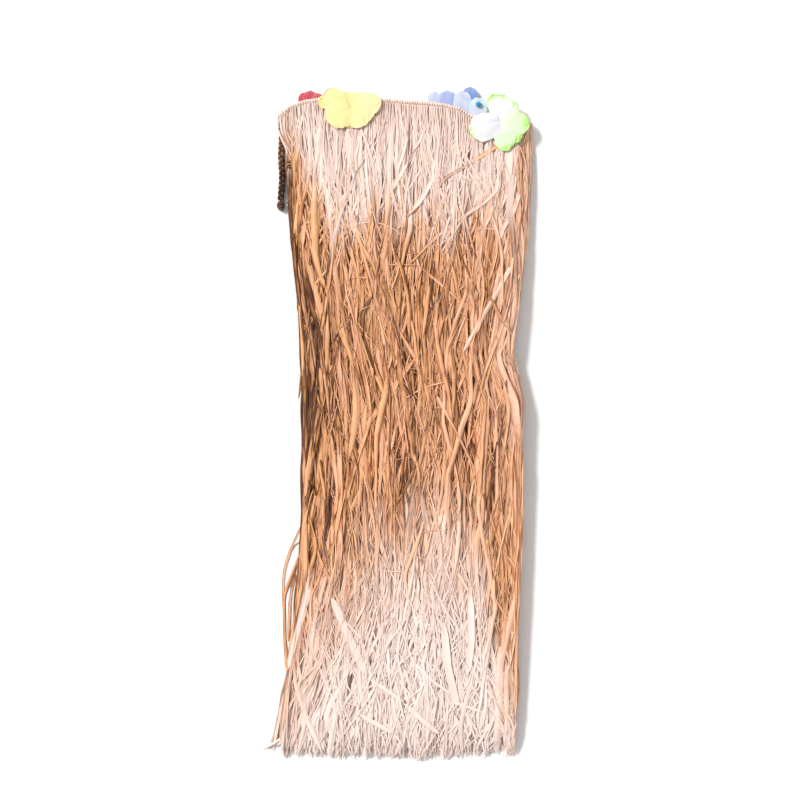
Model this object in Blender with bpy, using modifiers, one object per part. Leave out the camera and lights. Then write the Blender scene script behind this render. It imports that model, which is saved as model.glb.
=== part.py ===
"""A grass skirt of raffia, folded in three and laid flat with its waist towards +Y.

Metres, +Z up. The origin is the middle of the base of the folded skirt, without its tie.
All sizes below are in millimetres and are turned into metres where a mesh is made.
"""

import math
import random

import bmesh
import bpy
import numpy as np

MM = 0.001
GAP = 0.35  # between pieces that touch

# The outline seen from above, and the pile's height: a row for each section, hem first.
SECTION_COLUMNS = ("along", "left", "right", "left_band", "right_band", "core_height")
SECTIONS = (
    (0.000, -140, 129, 9, 8, 8),
    (0.045, -138, 130, 8, 8, 11),
    (0.140, -129, 131, 7, 8, 15),
    (0.270, -118, 134, 6, 8, 18),
    (0.410, -114, 136, 6, 8, 20),
    (0.550, -114, 138, 6, 9, 20),
    (0.630, -117, 126, 6, 8, 19),
    (0.690, -120, 132, 6, 10, 18),
    (0.820, -130, 143, 6, 12, 15),
    (0.930, -134, 148, 5, 13, 13),
    (1.000, -136, 149, 5, 13, 12),
)

# The waist's edge and the hem. Columns: x, y.
WAIST_LINE = (
    (-140, 357),
    (-129, 366),
    (-113, 371),
    (-90, 374.5),
    (-67, 376),
    (-44, 375),
    (-22, 373),
    (2, 371),
    (30, 369),
    (48, 367),
    (64, 363),
    (78, 355),
    (94, 350),
    (112, 350),
    (129, 351),
    (152, 352),
)
HEM_LINE = (
    (-165, -372),
    (-60, -376),
    (40, -377),
    (152, -371),
)

CORE_SETBACK = 5.1  # from the waist's edge to the core's end, with the cord between
STRIP_SETBACK = 4.5
CORE_POINTS = 27  # across the core's top
CORE_CROWN = 0.18  # how far the core's top falls towards its sides, of its height
CORE_END = 0.036  # where the core stops short of the hem, along the skirt
FOLD_LEVELS = (0.84, 0.68, 0.5, 0.34, 0.16)  # edges and grooves of the folded layers, from the top
FOLD_DEPTHS = (0.0, 2.6, 0.0, 2.6, 0.0)

FRONT_LOCKS = 84
OVER_LOCKS = 30
CROSS_LOCKS = 26
LEFT_LOCKS = 9
RIGHT_LOCKS = 12
LOCK_GAP = 0.6
FRONT_RISE = 0.5  # the front locks' underside over the core
FRONT_HIGH = 3.2
OVER_RISE = 3.9
OVER_HIGH = 2.0
CROSS_RISE = 6.3
CROSS_HIGH = 1.9
STRIP_DEEP = 4.0
TIP_FLOOR = 0.7  # the lowest that a strand's end comes
TIP_DROOP = 0.8  # how far the ends sink past the hidden layers, of their height

CORD_RADIUS = 1.7
CORD_LEVELS = {"front": 13.4, "middle": 7.8, "back": 2.1}
TIE_RADIUS = 4.0
TIE_ROUTE = (
    (-139.4, 353.6, 13.2),
    (-139.3, 347.0, 11.8),
    (-139.1, 340.0, 9.0),
    (-138.9, 333.0, 6.2),
    (-139.0, 326.0, 4.7),
    (-139.5, 318.0, 4.3),
    (-140.0, 309.0, 4.3),
    (-139.6, 300.0, 4.3),
    (-138.8, 291.0, 4.3),
    (-138.6, 282.0, 4.3),
    (-139.2, 273.0, 4.3),
    (-140.0, 264.0, 4.3),
    (-140.4, 257.0, 4.3),
)
KNOT_RADIUS = 4.6  # the knot at the tie's end, a little longer than it is thick
KNOT_STRETCH = 1.2
TIE_PIECES = ("tie", "tie_knot")

PETAL_THICK = 1.0
FLOWER_ANGLES = 30
FLOWER_RINGS = (0.35, 0.7, 1.0)
# The lobes of each flower. Columns: x, y, radius, lift.
YELLOW_CENTRE = (-60.5, 361.0)
YELLOW_LOBES = (
    (-16.0, 13.0, 11.8, 1.2),
    (-28.5, 7.0, 7.8, 0.6),
    (-10.5, -4.5, 18.3, 1.4),
    (8.5, -10.0, 13.2, 0.9),
    (21.5, 4.5, 13.8, 1.5),
    (10.0, 8.0, 10.5, 0.8),
)
GREEN_CENTRE = (110.0, 345.5)
GREEN_LOBES = (
    (-5.0, 24.0, 9.0, 0.9),
    (2.0, 17.5, 14.3, 1.5),
    (14.5, 15.0, 8.8, 0.8),
    (21.5, -2.0, 13.8, 1.3),
    (6.5, -20.5, 12.2, 0.9),
    (-18.5, -6.5, 16.0, 1.4),
)
SEAT_DIP = 0.5  # how far a flower settles between the ridges of the locks
FLOWER_BASE = 13.0  # the least that a flower reaches from its middle
BLUE_LOBES = (
    (35.0, 374.5, 6.8, 0.5),
    (50.5, 371.5, 9.4, 1.2),
    (66.0, 371.5, 9.0, 0.9),
    (76.0, 378.0, 8.5, 1.3),
    (85.0, 364.0, 9.5, 0.7),
)
RED_LOBES = (
    (-113.0, 374.0, 7.0, 0.6),
    (-105.0, 374.5, 9.4, 1.0),
)
BAND_STEP = 3.0  # between the points along a band of petals
BEAD_RADIUS = 3.4
BEAD_PLACE = (86.5, 366.0)
BEAD_CLEAR = 1.1  # over the curl of the petal under it

SEED = 41

RAFFIA = (0.60, 0.36, 0.17)
RAFFIA_LIGHT = (0.70, 0.47, 0.27)
RAFFIA_DARK = (0.38, 0.19, 0.08)
COLOURS = {
    "hidden_layers": (RAFFIA_DARK, 0.8),
    "front_fringe": (RAFFIA, 0.6),
    "over_fringe": (RAFFIA_LIGHT, 0.6),
    "cross_fringe": (RAFFIA_LIGHT, 0.6),
    "left_fringe": (RAFFIA, 0.6),
    "right_fringe": (RAFFIA_DARK, 0.6),
    "waist_cord": (RAFFIA_LIGHT, 0.7),
    "tie": (RAFFIA_DARK, 0.7),
    "tie_knot": (RAFFIA_DARK, 0.7),
    "flower_yellow": ((0.98, 0.90, 0.36), 0.7),
    "flower_green": ((0.62, 0.95, 0.36), 0.7),
    "flower_blue": ((0.50, 0.58, 0.90), 0.7),
    "flower_red": ((0.86, 0.16, 0.18), 0.7),
    "bead_blue": ((0.0, 0.36, 0.55), 0.15),
}


def clear_scene():
    for thing in list(bpy.data.objects):
        bpy.data.objects.remove(thing, do_unlink=True)


def make_collection():
    group = bpy.data.collections.new("grass_skirt")
    bpy.context.scene.collection.children.link(group)
    return group


def make_material(name):
    colour, roughness = COLOURS[name]
    material = bpy.data.materials.new(name)
    material.use_nodes = True
    shader = material.node_tree.nodes["Principled BSDF"]
    shader.inputs["Base Color"].default_value = (*colour, 1.0)
    shader.inputs["Roughness"].default_value = roughness
    shader.inputs["Metallic"].default_value = 0.0
    return material


def add_object(group, name, data):
    thing = bpy.data.objects.new(name, data)
    data.materials.append(make_material(name))
    group.objects.link(thing)
    return thing


def add_mesh(group, name, points, faces, closed=True):
    """A mesh object from points in millimetres, its faces turned outward if it is closed."""
    data = bpy.data.meshes.new(name)
    data.from_pydata([tuple(c * MM for c in p) for p in points], [], faces)
    if closed:
        work = bmesh.new()
        work.from_mesh(data)
        bmesh.ops.recalc_face_normals(work, faces=work.faces)
        work.to_mesh(data)
        work.free()
    return add_object(group, name, data)


def column(name, along):
    """A value of the section table at a place along the skirt, 0 at the hem and 1 at the waist."""
    place = SECTION_COLUMNS.index(name)
    return float(np.interp(along, [row[0] for row in SECTIONS], [row[place] for row in SECTIONS]))


def line_y(line, x):
    return float(np.interp(x, [row[0] for row in line], [row[1] for row in line]))


def front_edges(along):
    """The left and right ends of the front layer at a place along the skirt."""
    left = column("left", along) + column("left_band", along)
    right = column("right", along) - column("right_band", along)
    return left, right


def waist_y(x, inset=0.0):
    """The y of the waist's edge at x, or of a line that runs an inset inside it."""
    slope = (line_y(WAIST_LINE, x + 3.0) - line_y(WAIST_LINE, x - 3.0)) / 6.0
    return line_y(WAIST_LINE, x) - inset * math.hypot(1.0, slope)


def ground(x, along, inset=0.0):
    """The y of a place along the skirt at x: the skirt runs from the hem to the waist's edge."""
    low = line_y(HEM_LINE, x)
    return low + (waist_y(x, inset) - low) * along


def core_top(x, along):
    """The height of the hidden layers under x, from a crown that falls towards the sides."""
    left, right = front_edges(along)
    side = abs(2.0 * (x - left) / (right - left) - 1.0)
    return column("core_height", along) * (1.0 - CORE_CROWN * min(side, 1.0) ** 3)


def loft(rings, cap):
    """The points and faces of a closed body through rings of equally many points."""
    count = len(rings[0])
    points = [p for ring in rings for p in ring]
    faces = []
    for k in range(len(rings) - 1):
        for j in range(count):
            n = (j + 1) % count
            faces.append((k * count + j, k * count + n, (k + 1) * count + n, (k + 1) * count + j))
    for first in (0, (len(rings) - 1) * count):
        faces.extend(tuple(first + j for j in face) for face in cap)
    return points, faces


def core_section(along, place, shrink):
    """One section of the hidden layers: a crowned top, three fold edges a side, a flat base."""
    left, right = front_edges(along)
    height = column("core_height", along) * shrink
    squeeze = (1.0 - shrink) * 3.0
    left = left + squeeze
    right = right - squeeze
    top = []
    base = []
    for k in range(CORE_POINTS):
        u = k / (CORE_POINTS - 1)
        x = left + 1.2 + (right - left - 2.4) * u
        top.append((x, height * (1.0 - CORE_CROWN * abs(2 * u - 1) ** 3)))
        base.append((x, 0.0))
    shoulder = top[-1][1]
    levels = [shoulder * f for f in FOLD_LEVELS]
    right_side = [(right - d, z) for d, z in zip(FOLD_DEPTHS, levels)]
    left_side = [(left + d, z) for d, z in zip(FOLD_DEPTHS, levels)]
    outline = top + right_side + base[::-1] + left_side[::-1]
    return [(x, ground(x, place, CORE_SETBACK), z) for x, z in outline]


def core_cap():
    """The faces that close an end of the hidden layers, from its top edge down to its base."""
    folds = len(FOLD_LEVELS)
    top = list(range(CORE_POINTS))
    right = [CORE_POINTS + k for k in range(folds)]
    base = [CORE_POINTS + folds + k for k in range(CORE_POINTS)][::-1]
    left = [2 * CORE_POINTS + folds + k for k in range(folds)][::-1]
    faces = [(top[k], top[k + 1], base[k + 1], base[k]) for k in range(CORE_POINTS - 1)]
    faces.append((top[-1], *right, base[-1]))
    faces.append((top[0], *left, base[0]))
    return faces


def make_core(group):
    """The folded layers under the front one, as one rounded solid with layered edges."""
    rings = [core_section(CORE_END + 0.009, CORE_END, 0.55)]
    rings.append(core_section(CORE_END + 0.009, CORE_END + 0.009, 1.0))
    for row in SECTIONS[2:]:
        rings.append(core_section(row[0], row[0], 1.0))
    points, faces = loft(rings, core_cap())
    return add_mesh(group, "hidden_layers", points, faces)


def comb(group, name, strips, locks):
    """A strip of roots with a lock on each of its segments, as one closed body.

    strips holds four points for each end of each segment: back low, back high, front high and
    front low. locks holds the rings of each lock: low on the first side, low on the second, ridge.
    """
    points = [p for strip in strips for p in strip]
    faces = [(0, 1, 2, 3)]
    last = 4 * (len(strips) - 1)
    faces.append((last + 3, last + 2, last + 1, last))
    for j in range(len(strips) - 1):
        a = 4 * j
        b = 4 * (j + 1)
        faces.append((a, b, b + 1, a + 1))
        faces.append((a + 1, b + 1, b + 2, a + 2))
        faces.append((a + 3, b + 3, b, a))
        if j % 2:
            faces.append((a + 2, b + 2, b + 3, a + 3))
    for i, rings in enumerate(locks):
        a = 8 * i
        b = a + 4
        first = len(points)
        for ring in rings:
            points.extend(ring)
        faces.append((a + 3, b + 3, first + 1, first))
        faces.append((a + 2, a + 3, first, first + 2))
        faces.append((b + 3, b + 2, first + 2, first + 1))
        faces.append((a + 2, first + 2, b + 2))
        for k in range(len(rings) - 1):
            low = first + 3 * k
            for j in range(3):
                n = (j + 1) % 3
                faces.append((low + j, low + n, low + 3 + n, low + 3 + j))
        end = first + 3 * (len(rings) - 1)
        faces.append((end, end + 1, end + 2))
    return add_mesh(group, name, points, faces)


def wander(rng, count, amount):
    """A smooth run of numbers about zero, one for each of count places."""
    value = rng.uniform(-amount, amount)
    run = []
    for _ in range(count):
        value = 0.6 * value + rng.uniform(-amount, amount)
        run.append(value)
    return run


def lay_fringe(group, name, count, rise, high, setback, fill, lean, tips, seed):
    """A layer of locks side by side over the front, from a strip near the waist to the hem."""
    rng = random.Random(seed)
    stations = [1.0] + [row[0] for row in SECTIONS[::-1]][1:]
    noise = [wander(rng, len(stations), 0.45) for _ in range(count)]
    base = [rng.uniform(0.75, 1.3) for _ in range(count)]
    shares = []
    for k in range(len(stations)):
        weights = [max(0.42, b * (1.0 + noise[i][k] * min(k / 3, 1.0))) for i, b in enumerate(base)]
        total = sum(weights)
        shares.append([0.0] + list(np.cumsum(weights) / total))
    ends = [tips(rng) for _ in range(count)]
    slack = [rng.uniform(*fill) for _ in range(count)]
    ridge_side = [rng.uniform(0.2, 0.8) for _ in range(count)]
    ridge_high = [rng.uniform(0.7, 1.0) * high for _ in range(count)]

    def bounds(i, k, along):
        left, right = front_edges(max(along, 0.0))
        low, up = shares[k][i], shares[k][i + 1]
        bend = lean * math.sin(math.pi * min(max(1.0 - along, 0.0), 1.0) * 1.15)
        low, up = (v + bend * math.sin(math.pi * v) for v in (low, up))
        a = left + (right - left) * low
        b = left + (right - left) * up
        middle = (a + b) / 2
        half = ((b - a) * slack[i] - LOCK_GAP) / 2
        return middle - half, middle + half

    def base_height(x, along):
        return core_top(x, max(along, SECTIONS[1][0])) + rise

    strips = []
    locks = []
    for i in range(count):
        a, b = bounds(i, 0, 1.0)
        for x in (a, b):
            back = ground(x, 1.0, setback)
            z = base_height(x, 1.0)
            top = z + high * 0.8
            front = back - STRIP_DEEP
            strips.append(((x, back, z), (x, back, top), (x, front, top), (x, front, z)))
        rings = []
        for k, along in enumerate(stations):
            if k == 0 or along <= max(ends[i] + 0.02, SECTIONS[0][0]):
                continue
            a, b = bounds(i, k, along)
            r = a + (b - a) * ridge_side[i]
            lift = rng.uniform(0.0, 0.25)
            rings.append(
                (
                    (a, ground(a, along), base_height(a, along)),
                    (b, ground(b, along), base_height(b, along)),
                    (r, ground(r, along), base_height(r, along) + lift + ridge_high[i]),
                )
            )
        tip = ends[i]
        last = len(rings)
        past = max(SECTIONS[1][0] - tip, 0.0) / SECTIONS[1][0]
        a, b = bounds(i, min(last, len(stations) - 1), tip)
        middle = (a + b) / 2 + rng.uniform(-1, 1) * (b - a) * 0.2
        half = (b - a) * 0.2
        fall = core_top(middle, SECTIONS[1][0]) * TIP_DROOP * min(past, 1.0)
        z = base_height(middle, tip) - fall
        y = ground(middle, tip)
        rings.append(((middle - half, y, z), (middle + half, y, z), (middle, y, z + 0.7)))
        locks.append(rings)
    return comb(group, name, strips, locks)


def side_fringe(group, name, side, count, start, tier_low, strays, seed):
    """Locks one over the other down a folded edge, each free to stray sideways in its tier."""
    rng = random.Random(seed)
    stations = [row[0] for row in SECTIONS[::-1] if row[0] < start - 0.02]
    sign = 1 if side == "right" else -1
    band = side + "_band"

    def tier(i, along, share):
        room = column("core_height", along) * 0.8 - tier_low
        return tier_low + room * (i + share) / count

    def inner(along):
        left, right = front_edges(along)
        return (right if sign > 0 else left) + sign * GAP * 1.5

    strips = []
    locks = []
    x_in = inner(start)
    wide = column(band, start)
    for i in range(count):
        back = ground(x_in + sign * wide / 2, start, CORE_SETBACK)
        for share in (0.08, 0.86):
            z = tier(i, start, share)
            x_out = x_in + sign * (wide - 1.0)
            front = back - STRIP_DEEP
            strips.append(((x_in, back, z), (x_out, back, z), (x_out, front, z), (x_in, front, z)))
        roam = wander(rng, len(stations), 0.35)
        reach, stray_from = strays(rng, i)
        rings = []
        for k, along in enumerate(stations[:-1]):
            wide_here = column(band, along) - GAP
            width = min(wide_here, rng.uniform(3.2, 5.5))
            free = wide_here - width
            shift = free * min(max(0.5 + roam[k], 0.0), 1.0)
            stray = reach * max(0.0, (stray_from - along) / stray_from) ** 1.5
            x = inner(along) + sign * (shift + stray)
            y = ground(x, along)
            low, up = tier(i, along, 0.08), tier(i, along, 0.86)
            rings.append(((x, y, low), (x, y, up), (x + sign * width, y, (low + up) / 2)))
        tip = rng.uniform(-0.012, 0.022)
        x = inner(0.0) + sign * (rng.uniform(0.5, 5.0) + reach)
        z = max(TIP_FLOOR, tier(i, 0.045, 0.5) * rng.uniform(0.4, 0.8))
        y = ground(x, tip)
        rings.append(((x, y, z - 0.3), (x, y, z + 0.3), (x + sign * 1.6, y, z)))
        locks.append(rings)
    return comb(group, name, strips, locks)


def add_tube(group, name, route, radius, resolution):
    """A round tube with filled caps along a route in millimetres."""
    data = bpy.data.curves.new(name, "CURVE")
    data.dimensions = "3D"
    data.bevel_depth = radius * MM
    data.bevel_resolution = resolution
    data.use_fill_caps = True
    data.resolution_u = 1
    spline = data.splines.new("POLY")
    spline.points.add(len(route) - 1)
    for point, place in zip(spline.points, route):
        point.co = (*(c * MM for c in place), 1.0)
    return add_object(group, name, data)


def waist_route():
    """The waist cord's one line through its three runs and the two turns between them."""
    inset = CORD_RADIUS + 0.1
    levels = CORD_LEVELS
    left_end = -133.0
    right_end = 138.0
    route = []
    for x in np.linspace(left_end, right_end, 13):
        route.append((x, waist_y(x, inset), levels["back"]))
    route = route[::-1]
    turn_high = (levels["middle"] - levels["back"]) / 2
    for angle in (-45, 0, 45):
        x = left_end - turn_high * math.cos(math.radians(angle))
        z = levels["back"] + turn_high * (1 + math.sin(math.radians(angle)))
        route.append((x, waist_y(x, inset), z))
    for x in np.linspace(left_end, right_end, 13):
        route.append((x, waist_y(x, inset), levels["middle"]))
    turn_high = (levels["front"] - levels["middle"]) / 2
    for angle in (-45, 0, 45):
        x = right_end + turn_high * math.cos(math.radians(angle))
        z = levels["middle"] + turn_high * (1 + math.sin(math.radians(angle)))
        route.append((x, waist_y(x, inset), z))
    for x in np.linspace(right_end, WAIST_LINE[0][0] + 4, 24):
        route.append((x, waist_y(x, inset), levels["front"]))
    route.append((-139.4, 357.4, levels["front"]))
    route.append((-139.6, 354.4, levels["front"] + 0.1))
    return route


def lobe_radius(lobes, angle):
    """How far the flower reaches at an angle, and the lift of the petal that reaches furthest."""
    best, lift = FLOWER_BASE, 0.0
    ux, uy = math.cos(angle), math.sin(angle)
    for x, y, radius, high in lobes:
        along = x * ux + y * uy
        miss = (x * uy - y * ux) ** 2
        if miss < radius**2 and along > 0:
            reach = along + math.sqrt(radius**2 - miss)
            if reach > best:
                best, lift = reach, high
    return best, lift


def add_petals(group, name, points, faces):
    """A thin wall of cloth on an open surface of petals."""
    petals = add_mesh(group, name, points, faces, closed=False)
    wall = petals.modifiers.new("wall", "SOLIDIFY")
    wall.thickness = PETAL_THICK * MM
    wall.offset = 1.0
    return petals


def add_flower(group, name, lobes, centre, level, cup):
    """A cut flower of cloth that lies open: petals as lobes round its middle, with a low curl."""
    points = [(*centre, level(*centre))]
    for share in FLOWER_RINGS:
        for k in range(FLOWER_ANGLES):
            angle = math.tau * k / FLOWER_ANGLES
            reach, lift = lobe_radius(lobes, angle)
            x = centre[0] + reach * share * math.cos(angle)
            y = centre[1] + reach * share * math.sin(angle)
            z = level(x, y) + lift * math.sin(math.pi * share * 0.8) + cup * share**2
            points.append((x, y, z))
    faces = []
    for k in range(FLOWER_ANGLES):
        n = (k + 1) % FLOWER_ANGLES
        faces.append((0, 1 + k, 1 + n))
        for ring in range(len(FLOWER_RINGS) - 1):
            a = 1 + ring * FLOWER_ANGLES
            b = a + FLOWER_ANGLES
            faces.append((a + k, b + k, b + n, a + n))
    return add_petals(group, name, points, faces)


def add_petal_band(group, name, lobes, near, level):
    """The petals of a flower that stick out from behind the waist cord, as one lobed band."""
    left = min(x - radius for x, _, radius, _ in lobes)
    right = max(x + radius for x, _, radius, _ in lobes)
    steps = round((right - left) / BAND_STEP)
    rows = (0.0, 0.4, 0.75, 1.0)
    points = []
    for k in range(steps + 1):
        x = left + (right - left) * k / steps
        inner = near(x)
        outer, lift = inner + 2.0, 0.0
        for centre_x, centre_y, radius, high in lobes:
            if abs(x - centre_x) < radius:
                reach = centre_y + math.sqrt(radius**2 - (x - centre_x) ** 2)
                if reach > outer:
                    outer, lift = reach, high
        for share in rows:
            y = inner + (outer - inner) * share
            points.append((x, y, level(x, y) + lift * math.sin(math.pi * share * 0.8)))
    count = len(rows)
    faces = []
    for k in range(steps):
        for j in range(count - 1):
            a = k * count + j
            faces.append((a, a + count, a + count + 1, a + 1))
    return add_petals(group, name, points, faces)


def add_ball(group, name, centre, radius, stretch=1.0):
    """A ball at a place in millimetres, stretched along the skirt."""
    bpy.ops.mesh.primitive_uv_sphere_add(segments=12, ring_count=8, radius=radius * MM)
    ball = bpy.context.object
    ball.name = name
    ball.data.name = name
    for point in ball.data.vertices:
        point.co.y *= stretch
    ball.location = [c * MM for c in centre]
    ball.data.materials.append(make_material(name))
    ball.data.shade_smooth()
    for home in list(ball.users_collection):
        home.objects.unlink(ball)
    group.objects.link(ball)
    return ball


def make_tie(group):
    add_tube(group, "tie", TIE_ROUTE, TIE_RADIUS, 3)
    x, y, _ = TIE_ROUTE[-1]
    reach = KNOT_RADIUS * KNOT_STRETCH
    add_ball(group, "tie_knot", (x, y - reach - GAP, KNOT_RADIUS + GAP), KNOT_RADIUS, KNOT_STRETCH)


def make_fringes(group):
    lay_fringe(
        group, "front_fringe", FRONT_LOCKS, FRONT_RISE, FRONT_HIGH - FRONT_RISE,
        STRIP_SETBACK, (1.0, 1.0), 0.012,
        lambda rng: rng.uniform(-0.016, 0.012), SEED,
    )
    lay_fringe(
        group, "over_fringe", OVER_LOCKS, OVER_RISE, OVER_HIGH,
        9.0, (0.38, 0.75), 0.07,
        lambda rng: rng.choice((rng.uniform(-0.014, 0.01), rng.uniform(0.06, 0.3))), SEED + 1,
    )
    lay_fringe(
        group, "cross_fringe", CROSS_LOCKS, CROSS_RISE, CROSS_HIGH,
        13.0, (0.3, 0.6), -0.08,
        lambda rng: rng.choice((rng.uniform(-0.01, 0.01), rng.uniform(0.08, 0.4))), SEED + 2,
    )
    side_fringe(
        group, "left_fringe", "left", LEFT_LOCKS, 0.995, 0.8,
        lambda rng, i: (rng.choice((0.0, 3.0, 9.0, 16.0)), 0.32), SEED + 3,
    )
    side_fringe(
        group, "right_fringe", "right", RIGHT_LOCKS, 0.995, 0.8,
        lambda rng, i: (rng.choice((0.0, 0.5, 1.5)), 0.3), SEED + 4,
    )


def make_flowers(group):
    behind = CORD_LEVELS["front"] - PETAL_THICK / 2

    def flat(x, y):
        beyond = max(0.0, y - waist_y(x))
        return core_top(x, 1.0) + CROSS_RISE + CROSS_HIGH + GAP - SEAT_DIP - 0.12 * beyond

    def drooping(x, y):
        beyond = max(0.0, y - waist_y(x))
        return behind - 0.3 * beyond

    def past_cord(x):
        return waist_y(x, -2 * GAP)

    add_flower(group, "flower_yellow", YELLOW_LOBES, YELLOW_CENTRE, flat, 1.2)
    add_flower(group, "flower_green", GREEN_LOBES, GREEN_CENTRE, flat, 1.4)
    add_petal_band(group, "flower_blue", BLUE_LOBES, past_cord, drooping)
    add_petal_band(group, "flower_red", RED_LOBES, past_cord, drooping)
    bead_x, bead_y = BEAD_PLACE
    height = drooping(bead_x, bead_y) + PETAL_THICK + BEAD_RADIUS + BEAD_CLEAR
    add_ball(group, "bead_blue", (bead_x, bead_y, height), BEAD_RADIUS)


def centre_on_base(group):
    """Moves the parts so that the origin is the middle of their base, the tie left out."""
    bpy.context.view_layer.update()
    graph = bpy.context.evaluated_depsgraph_get()
    low = np.full(3, np.inf)
    high = np.full(3, -np.inf)
    for thing in group.objects:
        if thing.name in TIE_PIECES:
            continue
        shown = thing.evaluated_get(graph)
        mesh = shown.to_mesh()
        points = np.array([thing.matrix_world @ v.co for v in mesh.vertices])
        low = np.minimum(low, points.min(axis=0))
        high = np.maximum(high, points.max(axis=0))
        shown.to_mesh_clear()
    shift = (-(low[0] + high[0]) / 2, -(low[1] + high[1]) / 2, -low[2])
    for thing in group.objects:
        thing.location = [a + b for a, b in zip(thing.location, shift)]


def main():
    clear_scene()
    group = make_collection()
    make_core(group)
    make_fringes(group)
    add_tube(group, "waist_cord", waist_route(), CORD_RADIUS, 2)
    make_flowers(group)
    make_tie(group)
    centre_on_base(group)


main()
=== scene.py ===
"""The looks of a raffia grass skirt, folded in three and laid flat.

Lengths are in millimetres in the skirt's own layout, as in its solids, and world() makes them metres.
"""

import math
from dataclasses import dataclass

import bpy
import numpy as np
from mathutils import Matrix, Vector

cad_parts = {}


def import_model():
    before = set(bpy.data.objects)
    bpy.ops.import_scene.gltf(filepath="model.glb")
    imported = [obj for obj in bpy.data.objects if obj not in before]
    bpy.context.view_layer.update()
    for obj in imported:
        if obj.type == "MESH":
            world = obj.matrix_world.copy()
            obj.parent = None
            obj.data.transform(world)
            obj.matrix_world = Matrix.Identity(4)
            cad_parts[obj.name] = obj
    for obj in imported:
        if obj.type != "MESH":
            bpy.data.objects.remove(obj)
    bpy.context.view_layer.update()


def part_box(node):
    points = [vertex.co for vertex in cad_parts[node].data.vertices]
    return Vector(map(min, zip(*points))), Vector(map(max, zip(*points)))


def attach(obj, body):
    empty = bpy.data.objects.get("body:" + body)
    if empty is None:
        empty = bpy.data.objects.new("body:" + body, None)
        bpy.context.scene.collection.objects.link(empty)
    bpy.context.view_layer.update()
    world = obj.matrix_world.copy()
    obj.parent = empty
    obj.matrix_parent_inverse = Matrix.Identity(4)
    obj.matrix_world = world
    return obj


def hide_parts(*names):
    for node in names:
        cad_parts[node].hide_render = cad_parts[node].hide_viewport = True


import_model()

MM = 0.001

# The tie's knot gives the shift from the layout to the world.
KNOT_CENTRE = (-140.4, 251.13, 4.95)
knot_low, knot_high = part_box("tie_knot")
SHIFT = np.array([(knot_low[k] + knot_high[k]) / 2 - KNOT_CENTRE[k] * MM for k in (0, 1)] + [0])

# The outline seen from above and the hidden layers' height, from the hem to the waist.
# Columns: along, left, right, left_band, right_band, core_height.
SECTIONS = np.array(
    (
        (0, -140, 129, 9, 8, 8),
        (0.045, -138, 130, 8, 8, 11),
        (0.14, -129, 131, 7, 8, 15),
        (0.27, -118, 134, 6, 8, 18),
        (0.41, -114, 136, 6, 8, 20),
        (0.55, -114, 138, 6, 9, 20),
        (0.63, -117, 126, 6, 8, 19),
        (0.69, -120, 132, 6, 10, 18),
        (0.82, -130, 143, 6, 12, 15),
        (0.93, -134, 148, 5, 13, 13),
        (1, -136, 149, 5, 13, 12),
    )
)
LEFT, RIGHT, LEFT_BAND, RIGHT_BAND, CORE_HEIGHT = range(1, 6)
WAIST_LINE = np.array(
    (
        (-140, 357), (-129, 366), (-113, 371), (-90, 374.5), (-67, 376), (-44, 375), (-22, 373), (2, 371),
        (30, 369), (48, 367), (64, 363), (78, 355), (94, 350), (112, 350), (129, 351), (152, 352),
    )
)
HEM_LINE = np.array(((-165, -372), (-60, -376), (40, -377), (152, -371)))
LENGTH = 740.0
CORE_END = 0.036
CORE_CROWN = 0.18
CORD_RADIUS = 1.7
CORD_LEVELS = {"front": 13.4, "middle": 7.8, "back": 2.1}
CORD_ENDS = (-133, 138)
LOOP_PITCH = 2.85
LOOP_TONES = {"front": 0.72, "middle": 0.45, "back": 0.45}
LOOPS = 95
TIE_ROUTE = (
    (-139.4, 353.6, 13.2), (-139.3, 347, 11.8), (-139.1, 340, 9), (-138.9, 333, 6.2), (-139, 326, 4.7),
    (-139.5, 318, 4.3), (-140, 309, 4.3), (-139.6, 300, 4.3), (-138.8, 291, 4.3), (-138.6, 282, 4.3),
    (-139.2, 273, 4.3), (-140, 264, 4.3), (-140.4, 257, 4.3),
)
TIE_DIAMETER = 8.0
HITCH_PLACE = (-130, 297)

# Where the raffia turns pale, partly from its own bleaching and partly as painted glare: above the first
# line and below the second. Columns: x, y.
PALE_WAIST = np.array(
    (
        (-145, 318), (-130, 320), (-112, 286), (-95, 262), (-78, 228), (-58, 232), (-38, 236), (-8, 246),
        (31, 240), (60, 224), (83, 236), (98, 246), (115, 257), (127, 275), (140, 350),
    )
)
PALE_HEM = np.array(
    (
        (-170, -270), (-136, -300), (-120, -278), (-110, -240), (-80, -212), (-45, -165), (8, -128),
        (43, -118), (84, -150), (96, -190), (104, -235), (113, -295), (140, -320),
    )
)

STEP = 2.0  # between the points of a strand's path
HIGHEST = 38.4  # the top of the pile of strands
FAR = 4000.0  # how far apart the strands' grains are taken
GRID_X = (-182.0, 172.0)
GRID_Y = (-402.0, 402.0)


def world(points):
    return np.asarray(points, float) * MM + SHIFT


def column(place, along):
    return np.interp(along, SECTIONS[:, 0], SECTIONS[:, place])


def line_y(line, x):
    return np.interp(x, line[:, 0], line[:, 1])


def waist_y(x, inset=0):
    slope = (line_y(WAIST_LINE, x + 3) - line_y(WAIST_LINE, x - 3)) / 6
    return line_y(WAIST_LINE, x) - inset * np.hypot(1, slope)


def ground(x, along, inset=0):
    low = line_y(HEM_LINE, x)
    return low + (waist_y(x, inset) - low) * along


def front_edges(along):
    left = column(LEFT, along) + column(LEFT_BAND, along)
    right = column(RIGHT, along) - column(RIGHT_BAND, along)
    return left, right


def sideways(x, held):
    """How near the front's edges a place is, from 0 in the middle to 1."""
    left, right = front_edges(held)
    return unit(np.abs(2 * (x - left) / (right - left) - 1))


def along_at(x, y):
    """How far up from the hem a place is, as a share of the fringe's length."""
    return (y - line_y(HEM_LINE, x)) / LENGTH


def unit(value):
    return np.clip(value, 0, 1)


def ease(value):
    value = unit(value)
    return value * value * (3 - 2 * value)


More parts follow.
